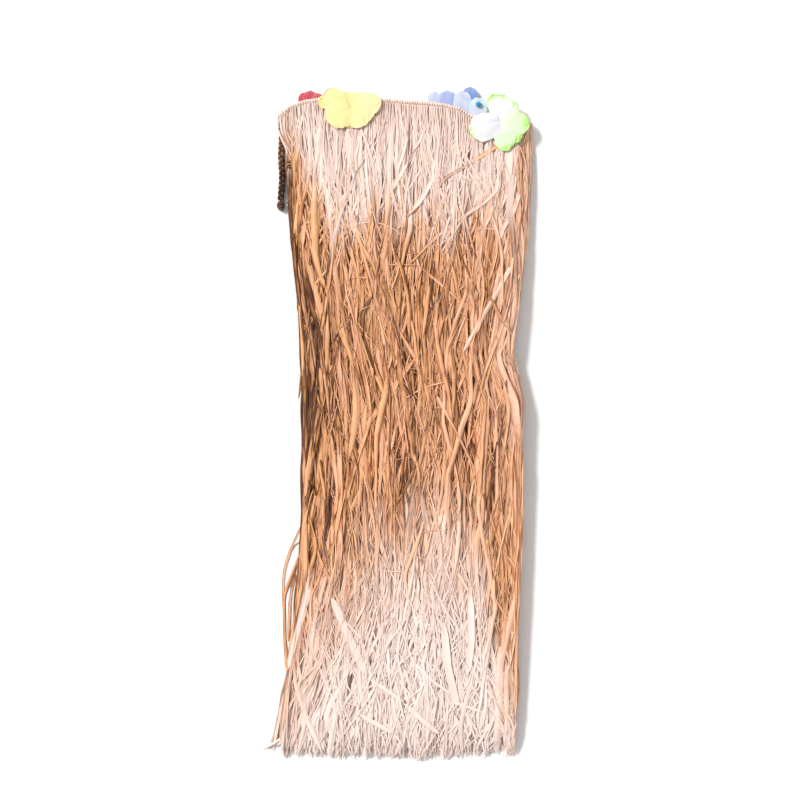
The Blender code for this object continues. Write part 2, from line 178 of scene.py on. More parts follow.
def patchy(x, y):
    """An uneven field from -1 to 1 that gives the pale areas their ragged borders."""
    total = 0
    for kx, ky, phase, size in (
        (0.071, 0.023, 0.4, 0.42),
        (-0.113, 0.051, 2.1, 0.27),
        (0.197, 0.034, 4, 0.17),
        (0.031, -0.087, 5.3, 0.14),
    ):
        total = total + size * np.sin(kx * x + ky * y + phase)
    return total


def bleach_and_glare(x, y, shift=0):
    """How pale the raffia is at a place, from 0 to 1: partly its own bleaching and partly painted glare at
    the waist and the hem, with painted light along the right edge; a strand's own shift moves the borders.
    """
    ragged = 20 * patchy(x, y) + shift
    waist = ease((y - line_y(PALE_WAIST, x) + ragged) / 74 + 0.5)
    hem = ease((line_y(PALE_HEM, x) - 20 - y + ragged) / 230 + 0.5)
    right = column(RIGHT, along_at(x, y))
    # Painted light: paler along the right edge.
    side = unit(1 - (right - x) / 34) * ease((y + 60) / 80)
    return np.maximum(np.maximum(waist * 0.8, hem), 0.26 * side)


def painted_shade_and_light(x, y):
    """How much painted shade darkens the raffia along its left edge, less the painted light that brightens
    it near the right edge, as a share of its tone's range.
    """
    along = along_at(x, y)
    # Painted shade along the left edge.
    inward = x - column(LEFT, along)
    reach = 11 + 19 * ease((210 - y) / 90) + 24 * np.exp(-(((y - 105) / 50) ** 2))
    stretch = ease((y + 150) / 120) * ease((322 - y) / 30)
    # Painted light near the right edge, against the shade of its slope.
    painted_light = unit(1 - (column(RIGHT, along) - x) / 52)
    return 0.34 * stretch * unit(1.3 - inward / reach) - 0.24 * painted_light


class Paint:
    """A material and its nodes. Its methods return the socket that carries their result."""

    def __init__(self, name, roughness, specular):
        self.material = bpy.data.materials.new(name)
        self.material.use_nodes = True
        self.tree = self.material.node_tree
        self.shader = self.tree.nodes["Principled BSDF"]
        self.shader.inputs["Roughness"].default_value = roughness
        self.shader.inputs["Specular IOR Level"].default_value = specular

    def fill(self, node, inputs):
        """Gives a node's inputs their links, numbers or colours."""
        for place, value in inputs.items():
            socket = node.inputs[place]
            if isinstance(value, bpy.types.NodeSocket):
                self.tree.links.new(value, socket)
            else:
                socket.default_value = (*value, 1) if socket.type == "RGBA" else value
        return node

    def node(self, kind, inputs=None):
        return self.fill(self.tree.nodes.new(kind), inputs or {})

    def math(self, kind, a, b, c=0, clamp=False):
        node = self.node("ShaderNodeMath", {0: a, 1: b, 2: c})
        node.operation = kind
        node.use_clamp = clamp
        return node.outputs[0]

    def scaled(self, value, factor, add, clamp=False):
        return self.math("MULTIPLY_ADD", value, factor, add, clamp)

    def mix(self, factor, a, b, blend="MIX"):
        node = self.tree.nodes.new("ShaderNodeMix")
        node.data_type = "RGBA"
        node.blend_type = blend
        return self.fill(node, {0: factor, 6: a, 7: b}).outputs[2]

    def ramp(self, factor, stops):
        node = self.node("ShaderNodeValToRGB", {0: factor})
        elements = node.color_ramp.elements
        while len(elements) < len(stops):
            elements.new(0.5)
        for element, (place, colour) in zip(elements, stops):
            element.position = place
            element.color = (*colour, 1)
        return node.outputs[0]

    def noise(self, place, scale, detail):
        place = self.node("ShaderNodeMapping", {"Vector": place, "Scale": scale}).outputs[0]
        noise = self.node("ShaderNodeTexNoise", {"Vector": place, "Scale": 1, "Detail": detail})
        return noise.outputs[0]

    def tints(self):
        """The piece's own colour attribute: tone, paleness, seed, and how near the edge."""
        tint = self.node("ShaderNodeAttribute")
        tint.attribute_name = "tint"
        parts = self.node("ShaderNodeSeparateColor", {0: tint.outputs["Color"]})
        return (*parts.outputs[:3], tint.outputs["Alpha"])

    def finish(self, colour, height, strength, distance):
        """Joins the colour and the relief to the shader."""
        relief = {"Strength": strength, "Distance": distance, "Height": height}
        bump = self.node("ShaderNodeBump", relief)
        self.fill(self.shader, {"Base Color": colour, "Normal": bump.outputs[0]})
        return self.material


def raffia_material(name, stops, pale_most, roughness, bump):
    """Split palm leaf: its colour by strand, with streaks, blotches, specks and fine fibres, painted shade
    along each strand's edges, and paleness that is partly bleaching and partly painted glare.
    """
    paint = Paint(name, roughness, 0.35)
    place = paint.node("ShaderNodeUVMap").outputs[0]
    tone, pale, seed, edge = paint.tints()
    fibres = paint.noise(place, (3, 0.03, 1), 2)
    streaks = paint.noise(place, (0.85, 0.018, 1), 2)
    blotches = paint.noise(place, (0.2, 0.055, 1), 4)
    specks = paint.noise(place, (1.1, 0.35, 1), 3)
    for field, share in ((fibres, 0.4), (streaks, 1.4), (blotches, 1.1)):
        tone = paint.scaled(field, share, paint.math("SUBTRACT", tone, share / 2))
    # Painted shade: the tone darkens towards each strand's edges.
    rim = paint.math("POWER", edge, 3.5)
    tone = paint.scaled(rim, -0.6, tone, clamp=True)
    tuned = {
        "Hue": paint.scaled(seed, 0.009, 0.4955),
        "Saturation": paint.scaled(seed, 0.12, 0.94),
        "Color": paint.ramp(tone, stops),
    }
    colour = paint.node("ShaderNodeHueSaturation", tuned).outputs[0]
    dark = paint.math("MULTIPLY", paint.math("GREATER_THAN", specks, 0.68), 0.36)
    colour = paint.mix(dark, colour, (0.17, 0.065, 0.022))
    # The pale colour is partly the raffia's own bleaching and partly painted glare.
    bleach_and_glare_colour = paint.mix(paint.scaled(tone, 0.4, 0.6), (0.84, 0.6, 0.51), (0.96, 0.83, 0.78))
    colour = paint.mix(paint.math("MULTIPLY", pale, pale_most, clamp=True), colour, bleach_and_glare_colour)
    return paint.finish(colour, paint.math("ADD", fibres, streaks), bump, 0.0005)


def petal_material(name, stops):
    """Thin woven cloth, its colour running from the petal's root to its rim."""
    paint = Paint(name, 0.85, 0.15)
    tone = paint.math("SUBTRACT", paint.tints()[0], 0.225)
    spot = paint.node("ShaderNodeTexCoord").outputs["Object"]
    clouds = paint.noise(spot, (90, 90, 90), 3)
    tone = paint.scaled(clouds, 0.45, tone, clamp=True)
    threads = []
    for direction in ("X", "Y"):
        wave = paint.node("ShaderNodeTexWave", {"Vector": spot, "Scale": 420, "Distortion": 0.6})
        wave.bands_direction = direction
        threads.append(wave.outputs[1])
    weave = paint.math("MAXIMUM", *threads)
    shaded = paint.scaled(weave, 0.1, 0.9)
    paint.shader.inputs["Sheen Weight"].default_value = 0.2
    colour = paint.mix(1, paint.ramp(tone, stops), shaded, "MULTIPLY")
    return paint.finish(colour, weave, 0.3, 0.0002)


def bead_material():
    paint = Paint("bead_teal", 0.1, 0.6)
    spot = paint.node("ShaderNodeTexCoord").outputs["Object"]
    clouds = paint.noise(spot, (160, 160, 160), 2)
    colour = paint.mix(clouds, (0, 0.14, 0.32), (0, 0.36, 0.52))
    paint.fill(paint.shader, {"Base Color": colour, "Coat Weight": 0.7, "Coat Roughness": 0.04})
    return paint.material


def floor_material():
    paint = Paint("pale_floor", 0.9, 0.1)
    paint.fill(paint.shader, {"Base Color": (0.95, 0.95, 0.95)})
    return paint.material


# Colours along each material's tone.
WARM = (
    (0, (0.105, 0.036, 0.012)), (0.2, (0.37, 0.15, 0.058)), (0.45, (0.73, 0.34, 0.158)),
    (0.72, (0.825, 0.425, 0.228)), (1, (0.85, 0.49, 0.295)),
)
# Dark brown as painted shade, for the raffia of the lowest layer, the inside and the underside where they
# show in the gaps.
PAINTED_SHADE_BROWN = (
    (0, (0.06, 0.022, 0.009)), (0.4, (0.19, 0.08, 0.03)), (0.7, (0.38, 0.18, 0.07)),
    (1, (0.6, 0.34, 0.16)),
)
TIE = (
    (0, (0.025, 0.01, 0.006)), (0.45, (0.1, 0.04, 0.02)), (0.8, (0.25, 0.115, 0.05)),
    (1, (0.48, 0.27, 0.13)),
)
CORD = (
    (0, (0.45, 0.25, 0.16)), (0.5, (0.76, 0.56, 0.45)), (1, (0.92, 0.78, 0.68)),
)
YELLOW = (
    (0, (0.88, 0.6, 0.12)), (0.35, (0.94, 0.74, 0.27)), (0.7, (0.96, 0.79, 0.36)),
    (1, (0.97, 0.83, 0.46)),
)
GREEN = (
    (0, (0.72, 0.69, 0.78)), (0.3, (0.81, 0.81, 0.83)), (0.5, (0.8, 0.87, 0.72)),
    (0.75, (0.64, 0.88, 0.46)), (1, (0.5, 0.84, 0.22)),
)
BLUE = (
    (0, (0.13, 0.25, 0.6)), (0.35, (0.33, 0.39, 0.66)), (0.65, (0.49, 0.54, 0.72)),
    (0.85, (0.63, 0.66, 0.79)), (1, (0.55, 0.7, 0.77)),
)
RED = (
    (0, (0.42, 0.03, 0.07)), (0.5, (0.52, 0.09, 0.12)), (1, (0.66, 0.28, 0.29)),
)


def stacked(*channels):
    """One array of vectors from its channels, each a number or an array that fits the others."""
    return np.stack(np.broadcast_arrays(*channels), axis=-1)


def travelled(path):
    """How far along a path each of its points lies."""
    return np.concatenate([[0], np.cumsum(np.linalg.norm(np.diff(path, axis=0), axis=1))])


def add_object(name, data):
    thing = bpy.data.objects.new(name, data)
    bpy.context.scene.collection.objects.link(thing)
    return thing


def grid_faces(rows, columns, first, wrap):
    """The quads of a grid of points, stored row by row; wrap closes each row into a ring."""
    spans = columns if wrap else columns - 1
    start = np.arange(rows - 1)[:, None] * columns
    here = start + np.arange(spans)
    beside = start + (np.arange(spans) + 1) % columns
    return np.stack([here, beside, beside + columns, here + columns], axis=-1).reshape(-1, 4) + first


def smooth(run, width):
    """A running average of a run of numbers, its ends held."""
    width = int(width)
    if width < 2:
        return run
    kernel = np.hanning(width + 2)[1:-1]
    kernel /= kernel.sum()
    long_run = np.concatenate([np.full(width, run[0]), run, np.full(width, run[-1])])
    return np.convolve(long_run, kernel, mode="same")[width:-width]


def drift(rng, count, width):
    """A smooth random run of about unit size."""
    run = smooth(rng.normal(0, 1, count + 2 * width), width)[width : width + count]
    return run * math.sqrt(width * 0.67)


def crossways(x, y):
    """The unit direction across a path, seen from above, pointing to the right of a downward strand."""
    dx, dy = np.gradient(x), np.gradient(y)
    size = np.hypot(dx, dy)
    across_x, across_y = -dy / size, dx / size
    if across_x.mean() < 0:
        return -across_x, -across_y
    return across_x, across_y


class Bunch:
    """Grids of points gathered up to become one smooth mesh."""

    def __init__(self):
        self.points, self.quads, self.uv, self.tint = [], [], [], []
        self.count = 0
        self.area = 0
        self.longest = 0

    def add(self, points, uv, tint, wrap=False):
        rows, columns = points.shape[:2]
        self.quads.append(grid_faces(rows, columns, self.count, wrap))
        self.points.append(points.reshape(-1, 3))
        self.uv.append(uv.reshape(-1, 2))
        self.tint.append(np.broadcast_to(tint, (rows, columns, 4)).reshape(-1, 4))
        self.count += rows * columns

    def strand(self, rng, x, y, level, slope, width, crease, roll, look, tone, pale=None, even=False):
        """Adds a strand along its path, creased across, tilted and rolled; some of its rows are kept."""
        across_x, across_y = crossways(x, y)
        u = np.linspace(-1, 1, look.columns)
        profile = 1 - (np.abs(u) if rng.random() < 0.5 else u**2)
        side = u * width[:, None] / 2
        rise = (crease * width)[:, None] * profile
        bend = (roll + np.arctan(slope))[:, None]
        reach = side * np.cos(bend) - rise * np.sin(bend)
        clear = np.abs(np.sin(roll)) * width * 0.45 + np.maximum(-crease, 0) * width
        px, py = x[:, None] + across_x[:, None] * reach, y[:, None] + across_y[:, None] * reach
        height = (level + clear)[:, None] + (side * np.sin(bend) + rise * np.cos(bend))
        points = stacked(px, py, np.clip(height, 0.12, HIGHEST))
        steps = np.hypot(np.diff(x), np.diff(y))
        run = np.concatenate([[0], np.cumsum(steps)])
        uv = stacked(side + rng.uniform(0, FAR), run[:, None] + rng.uniform(0, FAR))
        # Paleness is partly the raffia's own bleaching and partly painted glare; the tone loses the
        # painted shade along the left edge and gains the painted light near the right edge.
        if pale is None:
            pale = bleach_and_glare(px, py, rng.normal(0, 20)) * rng.uniform(0.8, 1)
        tint = stacked(tone - painted_shade_and_light(px, py), pale, rng.random(), np.abs(u))
        keep = np.unique(np.concatenate([np.arange(0, len(x), look.every), [len(x) - 1]]))
        self.add(points[keep], uv[keep], tint[keep])
        area, length = float((steps * (width[:-1] + width[1:]) / 2).sum()), float(steps.sum())
        self.area += float(width.mean()) * LENGTH if even else area
        self.longest = LENGTH if even else max(self.longest, length)

    def piece(self, name, material, slot):
        data = bpy.data.meshes.new(name)
        points, quads, uv, tint = map(np.concatenate, (self.points, self.quads, self.uv, self.tint))
        data.vertices.add(len(points))
        data.vertices.foreach_set("co", world(points).astype(np.float32).ravel())
        data.loops.add(quads.size)
        data.loops.foreach_set("vertex_index", quads.astype(np.int32).ravel())
        data.polygons.add(len(quads))
        data.polygons.foreach_set("loop_start", np.arange(len(quads), dtype=np.int32) * 4)
        fibre = data.uv_layers.new(name="fibre")
        fibre.data.foreach_set("uv", uv[quads.ravel()].astype(np.float32).ravel())
        colours = data.color_attributes.new("tint", "FLOAT_COLOR", "POINT")
        colours.data.foreach_set("color", tint.astype(np.float32).ravel())
        data.update()
        data.validate()
        data.shade_smooth()
        data.materials.append(material)
        piece = add_object(name, data)
        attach(piece, "root")
        return piece

    def fringe(self, name, material, slot):
        """The strands' mesh as one piece."""
        piece = self.piece(name, material, slot)
        return piece


def own_tone(rng, tone, spread):
    return float(unit(rng.normal(tone, spread)))


class Pile:
    """The height of what already lies at each spot, so that the next strand rests on it."""

    def __init__(self):
        self.x = np.arange(GRID_X[0], GRID_X[1], 1)
        self.y = np.arange(GRID_Y[0], GRID_Y[1], STEP)
        x, y = np.meshgrid(self.x, self.y)
        low = line_y(HEM_LINE, x)
        along = (y - low) / (waist_y(x, 5.1) - low)
        held = unit(along)
        left, right = front_edges(held)
        top = column(CORE_HEIGHT, held) * (1 - CORE_CROWN * sideways(x, held) ** 3)
        inside = (x > left) & (x < right) & (along > CORE_END) & (y < waist_y(x, 2))
        self.height = np.where(inside, top + 0.2, 0.2)
        for px, py, pz in TIE_ROUTE:
            near = np.hypot(x - px, y - py) < 6
            self.height = np.where(near, np.maximum(self.height, pz + TIE_DIAMETER / 2), self.height)

    def cells(self, x, y):
        i = np.clip(((y - GRID_Y[0]) / STEP + 0.5).astype(int), 0, len(self.y) - 1)
        j = np.clip((x - GRID_X[0] + 0.5).astype(int), 0, len(self.x) - 1)
        return i, j

    def at(self, x, y):
        return self.height[self.cells(x, y)]

    def rest(self, x, y, across, width, bridge):
        """The height and the sideways slope of a strand laid along a path."""
        shares = (-0.45, -0.22, 0, 0.22, 0.45)
        under = [self.at(x + across[0] * width * share, y + across[1] * width * share) for share in shares]
        left, right = np.maximum(under[0], under[1]), np.maximum(under[3], under[4])
        middle = np.maximum(under[2], (left + right) / 2)
        tall = np.maximum.reduce([np.roll(middle, k) for k in (-2, -1, 0, 1, 2)])
        tall[:2], tall[-2:] = middle[:2], middle[-2:]
        level = np.maximum(smooth(tall, bridge), smooth(middle, 5) - 0.1)
        slope = smooth(np.clip((right - left) / np.maximum(width, 1), -0.6, 0.6), 9)
        return level, slope

    def cover(self, x, y, across, width, level, slope, thick):
        reach = float(width.max()) / 2
        for offset in np.arange(-reach, reach + 0.5, 1):
            inside = np.abs(offset) <= width / 2
            i, j = self.cells(x + across[0] * offset, y + across[1] * offset)
            top = (level + slope * offset + thick)[inside]
            self.height[i[inside], j[inside]] = np.maximum(self.height[i[inside], j[inside]], top)


@dataclass
class Look:
    """How one kind of strand is made, in millimetres, with slopes as plain ratios."""

    width: tuple  # least and most
    root: float  # width at the waist cord
    lean: float  # how far it slants
    crease: float  # how deep its gutter is, as a share of its width
    roll: float
    flips: float  # chance of each half turn
    bridge: int  # path points that it spans without sagging
    arch: float  # how high it lifts off between
    thick: float
    tone: float
    spread: float
    columns: int
    every: int  # path points between its rows
    wide_share: float = 0
    split_share: float = 0


def lay(rng, bunch, pile, x, y, width, look, tone=None, pale=None, ceiling=np.inf, tilt=0):
    """Lays one strand along a path of points, on all that already lies there."""
    count = len(x)
    wide = 2 * int(rng.uniform(25, 55))
    calm = np.clip((waist_y(x) - y - 20) / 60, 0.15, 1)
    calm = np.minimum(calm, 1 - 0.65 * bleach_and_glare(x, y))
    crease = np.clip(drift(rng, count, wide) * look.crease + rng.normal(0, look.crease), -0.3, 0.42)
    crease = crease * (0.4 + 0.6 * calm)
    limp = np.clip(4.5 / width, 0.35, 1)
    roll = drift(rng, count, wide) * look.roll * calm * limp + tilt
    for _ in range(2):
        if rng.random() < look.flips:
            where, span = rng.uniform(0.1, 0.95) * count, rng.uniform(8, 20)
            turn = ease((np.arange(count) - where) / span + 0.5) * math.pi
            roll = roll + turn * rng.choice((-1, 1))
            width = width * (1 - 0.6 * np.sin(turn) ** 2)
    across = crossways(x, y)
    level, slope = pile.rest(x, y, across, width, look.bridge)
    slope = slope * limp
    level = np.minimum(level, ceiling)
    thick = look.thick + 0.15 * np.abs(crease) * width + 0.1 * np.abs(np.sin(roll)) * width
    thick = thick * (1 - 0.6 * sideways(x, unit(along_at(x, y))) ** 6)
    seen = width * np.maximum(np.abs(np.cos(roll)), 0.3)
    pile.cover(x, y, across, seen, level, slope, thick)
    level = level + calm * look.arch * (0.5 + 0.5 * np.tanh(drift(rng, count, 30)))
    if tone is None:
        tone = own_tone(rng, look.tone, look.spread)
    bunch.strand(rng, x, y, level, slope, width, crease, roll, look, tone, pale)


def tapered(x, width, first, last):
    """The width along a path, narrowed towards its ends over these lengths; 0 leaves an end blunt."""
    spots = np.arange(len(x)) * STEP
    width = width * np.ones(len(x))
    if first:
        width = width * unit(0.2 + spots / first)
    if last:
        width = width * unit(0.2 + spots[::-1] / last)
    return width


def wander(rng, gone, lean):
    """Sideways drift of a strand that runs straight, then bends a little, again and again."""
    spots, drifts = [0], [0]
    while spots[-1] < gone[-1]:
        run = rng.uniform(12, 45) if spots[-1] < 70 else rng.uniform(30, 130)
        wild = 1 + 1.3 * unit((spots[-1] - 0.62 * LENGTH) / (0.38 * LENGTH))
        calm = np.clip((spots[-1] + 75) / 140, 0.3, 1)
        slope = rng.normal(0, lean) * wild * calm - drifts[-1] / 260
        spots.append(spots[-1] + run)
        drifts.append(drifts[-1] + slope * run)
    return smooth(np.interp(gone, spots, drifts), rng.integers(3, 16))


def down(start, end):
    """Places a step apart from one share of the length down to another, and the same held in range."""
    along = np.linspace(start, end, int((start - end) * LENGTH / STEP))
    return along, unit(along)


def long_path(rng, share, start, end, lean):
    """A strand's line down the skirt between two places along it."""
    along, held = down(start, end)
    left, right = column(LEFT, held) + 1.5, column(RIGHT, held) - 1.5
    in_left, in_right = front_edges(1)
    root = in_left + 0.5 + (in_right - in_left - 1) * share
    home = (root - (column(LEFT, 1) + 1.5)) / (column(RIGHT, 1) - column(LEFT, 1) - 3)
    gone = (start - along) * LENGTH + (0.99 - start) * LENGTH
    move = wander(rng, gone, lean)
    x = left + (right - left) * home + move + drift(rng, len(along), 16) * 0.35
    middle, half = (left + right) / 2, (right - left) / 2
    off = (x - middle) / half
    over = np.abs(off) > 0.9
    off = np.where(over, np.sign(off) * (0.9 + 0.1 * np.tanh((np.abs(off) - 0.9) / 0.1)), off)
    x = middle + half * off
    return x, ground(x, along, 3.6), along


def routed(points):
    """Evenly spaced points along a smooth line through a few places."""
    route = np.asarray(points, float)
    run = travelled(route)
    spots = np.linspace(0, run[-1], max(6, int(run[-1] / STEP)))
    path = [smooth(np.interp(spots, run, line), 9) for line in route.T]
    for line, ends in zip(path, route.T):
        line[0], line[-1] = ends[0], ends[-1]
    return path


# Each kind's tone is lower the lower it lies (under, main_low, main_high, top), as painted shade where the
# lower strands show between those above.
LOOKS = {
    "under": Look((4, 7.5), 2, 0.05, 0.05, 0.1, 0.1, 25, 0.2, 0.18, 0.34, 0.14, 4, 5),
    "main_low": Look((2.6, 6), 2.5, 0.085, 0.1, 0.2, 0.25, 27, 0.9, 0.25, 0.46, 0.2, 4, 4, 0.12, 0.3),
    "main_high": Look((2.2, 5.6), 2.3, 0.12, 0.13, 0.26, 0.35, 31, 1.5, 0.32, 0.55, 0.25, 5, 4, 0.16, 0.4),
    "cross": Look((1.6, 6), 1.4, 0.25, 0.13, 0.3, 0.4, 37, 1.3, 0.35, 0.59, 0.22, 5, 4, 0.12),
    "top": Look((1.8, 5.2), 2, 0.15, 0.15, 0.32, 0.45, 37, 1.9, 0.4, 0.61, 0.24, 5, 4, 0.18, 0.4),
    "single": Look((3, 6), 1.4, 0, 0.1, 0.1, 0, 25, 0.7, 0.35, 0.6, 0.15, 5, 4),
    "waist": Look((1.2, 2.8), 1.6, 0.3, 0.1, 0.25, 0.2, 31, 0.8, 0.2, 0.6, 0.18, 3, 4),
    "hem": Look((1.2, 3), 1, 0.2, 0.15, 0.35, 0.35, 25, 1, 0.28, 0.7, 0.16, 3, 4),
    "fibre": Look((0.6, 1.3), 0.6, 0.22, 0.2, 0.4, 0.1, 31, 1, 0.15, 0.7, 0.14, 3, 4),
    "side": Look((2, 4.2), 1, 0.05, 0.14, 0.4, 0.3, 41, 0.5, 0.3, 0.4, 0.18, 4, 5),
    "flank": Look((1.8, 3.4), 1, 0, 0.14, 0.3, 0.2, 9, 0, 0, 0.4, 0.16, 3, 5),
    "rest": Look((5, 8.5), 2.5, 0.03, 0.02, 0, 0, 9, 0, 0, 0.4, 0.16, 3, 8),
}


def strand_width(rng, look, along):
    """A strand's width at each place: narrow where it leaves the cord, uneven after."""
    full = rng.uniform(*look.width)
    if rng.random() < look.wide_share:
        full *= rng.uniform(1.4, 2)
    grown = ease((0.995 - along) / rng.uniform(0.04, 0.16))
    width = look.root + (full - look.root) * grown
    if rng.random() < look.split_share:
        width = width * (1 - 0.45 * ease((rng.uniform(0.2, 0.45) - along) / 0.15))
    return width * np.clip(1 + 0.2 * drift(rng, len(along), 40), 0.6, 1.45)


def loop_shares(rng, count):
    """Where strands leave the cord, as shares of its front run: a few from each loop over it."""
    loops = np.concatenate([rng.permutation(LOOPS) for _ in range(count // LOOPS + 1)])[:count]
    return (loops + 0.5 + rng.normal(0, 0.13, count)) / LOOPS


def lay_long(rng, bunch, pile, look, count, through=0.7, ends=(0.03, 0.55)):
    """Strands from the cord down, some of which end on the way."""
    for share in loop_shares(rng, count):
        end = rng.uniform(-0.012, 0.010)
        if rng.random() > through:
            end = rng.uniform(*ends)
        x, y, along = long_path(rng, share, 0.9985, end, look.lean)
        width = tapered(x, strand_width(rng, look, along), 0, rng.uniform(6, 45))
        lay(rng, bunch, pile, x, y, width, look)


def lay_partial(rng, bunch, pile, look, count, start, length, low=-0.012):
    """Strands that show along a part of the skirt only."""
    for _ in range(count):
        first = rng.uniform(*start)
        last = max(first - rng.uniform(*length), rng.uniform(low, low + 0.022))
        x, y, along = long_path(rng, rng.uniform(0, 1), first, last, look.lean)
        width = tapered(x, strand_width(rng, look, along), 26, rng.uniform(6, 40))
        lay(rng, bunch, pile, x, y, width, look)


def lay_slanted(rng, bunch, pile, look, count):
    """Strands pulled aslant over the others for a short way."""
    for _ in range(count):
        x0, y0 = rng.uniform(-105, 115), rng.uniform(-340, 300)
        long_way = rng.uniform(50, 210)
        slant = math.radians(rng.choice((-1, 1)) * (6 + 32 * rng.random() ** 2))
        bow = rng.normal(0, 0.07) * long_way
        t = np.linspace(-0.5, 0.5, max(8, int(long_way / STEP)))
        x = x0 + math.sin(slant) * t * long_way + math.cos(slant) * bow * (1 - 4 * t**2)
        y = y0 - math.cos(slant) * t * long_way + math.sin(slant) * bow * (1 - 4 * t**2)
        along = along_at(x, y)
        left, right = column(LEFT, along).min(), column(RIGHT, along).max()
        if x.min() < left + 4 or x.max() > right - 12 or y.min() < -368:
            continue
        full = rng.uniform(*look.width)
        width = tapered(x, full, rng.uniform(30, 60), rng.uniform(15, 50))
        lay(rng, bunch, pile, x, y, width, look)


def lay_hairs(rng, bunch, pile, look, count):
    """Loose thin fibres lying across the strands at any angle."""
    for _ in range(count):
        x0, y0 = rng.uniform(-105, 115), rng.uniform(-350, 290)
        long_way = rng.uniform(18, 70)
        turn = rng.uniform(0, math.pi)
        bend = rng.normal(0, 1.1)
        heading = turn + bend * np.linspace(-0.5, 0.5, max(8, int(long_way / STEP)))
        x = x0 + np.cumsum(np.cos(heading)) * STEP
        y = y0 + np.cumsum(np.sin(heading)) * STEP
        along = along_at(x, y)
        if x.min() < column(LEFT, along).max() + 4 or x.max() > column(RIGHT, along).min() - 4:
            continue
        width = tapered(x, rng.uniform(*look.width), 12, 12)
        lay(rng, bunch, pile, x, y, width, look)


# The largest single strands that the skirt shows. Columns: width, tone, paleness of its own or none
# where it takes that of its place, then x and y of each of its points.
SINGLE_STRANDS = (
    (5, 0.64, 0.1, 118, 324, 104, 316, 88, 305, 74, 297),
    (3.4, 0.36, 0.3, 78, 299, 64, 290, 46, 280, 39, 266),
    (2.6, 0.66, 0.65, 58, 329, 80, 292, 103, 257),
    (2.2, 0.7, 0.65, 53, 323, 74, 290, 99, 250),
    (2.8, 0.65, None, 56, 290, 80, 277),
    (5, 0.72, 0.4, 136, 276, 127, 244, 114, 224, 109, 207),
    (3.8, 0.7, 0.35, 122, 219, 113, 186, 104, 154),
    (5.6, 0.78, 0.4, 126, 186, 111, 158, 99, 137, 69, 83),
    (1.3, 0.8, 0.4, 79, 222, 95, 224, 110, 221),
    (3.2, 0.22, None, 74, 206, 85, 186, 98, 168),
    (1.8, 0.62, None, -22, 181, -2, 182, 17, 181),
    (2.6, 0.7, None, 16, 182, 42, 160, 71, 135, 101, 133),
    (6.6, 0.6, None, 13, 75, -8, 47, -14, 31),
    (6.2, 0.64, None, -16, 38, -38, 3, -49, -16),
    (1.5, 0.86, None, 2, 30, 26, 43, 55, 50),
    (1, 0.8, None, 30, 18, 66, 22),
    (3.2, 0.66, None, -75, 260, -76, 212, -80, 183, -93, 168, -104, 155),
    (2, 0.76, 0.15, -116, 262, -121, 231, -118, 222, -104, 236),
    (6.4, 0.58, 0.1, -111, 235, -115, 214, -118, 200),
    (6.4, 0.55, None, -102, 127, -109, 108, -114, 91),
    (2.4, 0.68, None, -119, 132, -113, 117, -100, 124),
    (3.2, 0.7, None, 125, 112, 112, 83, 97, 60),
    (3.6, 0.64, None, 131, 160, 118, 118, 101, 74, 88, 20),
    (4.2, 0.6, None, 134, 176, 116, 122, 93, 60, 80, 8),
    (2.6, 0.62, 0.1, -112, -108, -131, -148, -137, -168, -138, -191, -136, -240),
    (3.4, 0.55, 0.05, -110, -128, -124, -168, -130, -202, -132, -250),
    (3.4, 0.5, 0, -119, -150, -137, -198, -136, -248, -133, -285),
    (4.4, 0.5, 0.05, -115, -180, -119, -198, -127, -243, -132, -282),
    (6, 0.62, 0.7, -108, -180, -120, -232, -131, -279),
    (6.8, 0.7, 0.8, -103, -160, -110, -200, -124, -250, -131, -279),
    (2.6, 0.7, 0.2, -131, -284, -136, -330, -140, -366),
    (5.4, 0.85, None, -125, -286, -122, -300, -109, -340, -94, -374),
    (2.4, 0.75, None, -130, -286, -133, -330, -134, -372),
    (2.8, 0.66, None, -133, -355, -150, -367, -163, -374),
    (9, 0.66, 0.75, -82, -196, -63, -240, -43, -284),
    (2.4, 0.8, None, -42, -201, -56, -229),
    (2.2, 0.8, None, -72, -218, -46, -246),
    (5.2, 0.9, None, -50, -331, -30, -343, -10, -354),
    (3.6, 0.85, None, -38, -291, -18, -304, 1, -317),
    (3, 0.8, None, 8, -268, 36, -295, 56, -309),
    (8, 0.86, 0.85, 77, -196, 78, -248, 73, -286),
    (8.6, 0.84, 0.85, 46, -226, 51, -277, 62, -322),
    (3, 0.82, None, 54, -316, 72, -322, 93, -330),
    (5.6, 0.92, None, 0, -318, 20, -336, 41, -354),
)


def lay_singles(rng, bunch, pile, look):
    for full, tone, pale, *points in SINGLE_STRANDS:
        x, y = routed(np.reshape(points, (-1, 2)))
        width = tapered(x, full, 14, 7)
        lay(rng, bunch, pile, x, y, width, look, tone, pale)


# The outermost strand of the left shoulder, which hides the tie's start.
SHOULDER = (
    (-141.5, 357), (-142.6, 347), (-142, 334), (-134, 316), (-125, 294), (-119, 270), (-115, 238),
    (-113, 190),
)


def lay_shoulder(rng, bunch, pile, look, count):
    """Strands that fall over the tie from the waist's left end and turn in below it."""
    route = np.array(SHOULDER, float)
    for k in rng.permutation(count):
        inward = 0.75 * k + rng.uniform(-0.5, 0.5)
        last = rng.integers(5, len(route) + 1)
        points = route[:last] + rng.normal(0, 0.8, (last, 2)) * np.linspace(0.3, 2, last)[:, None]
        points[:, 0] += inward
        points[0, 1] = waist_y(points[0, 0], 1.8)
        x, y = routed(points)
        width = tapered(x, rng.uniform(1.6, 3), 16, 12)
        lay(rng, bunch, pile, x, y, width, look)


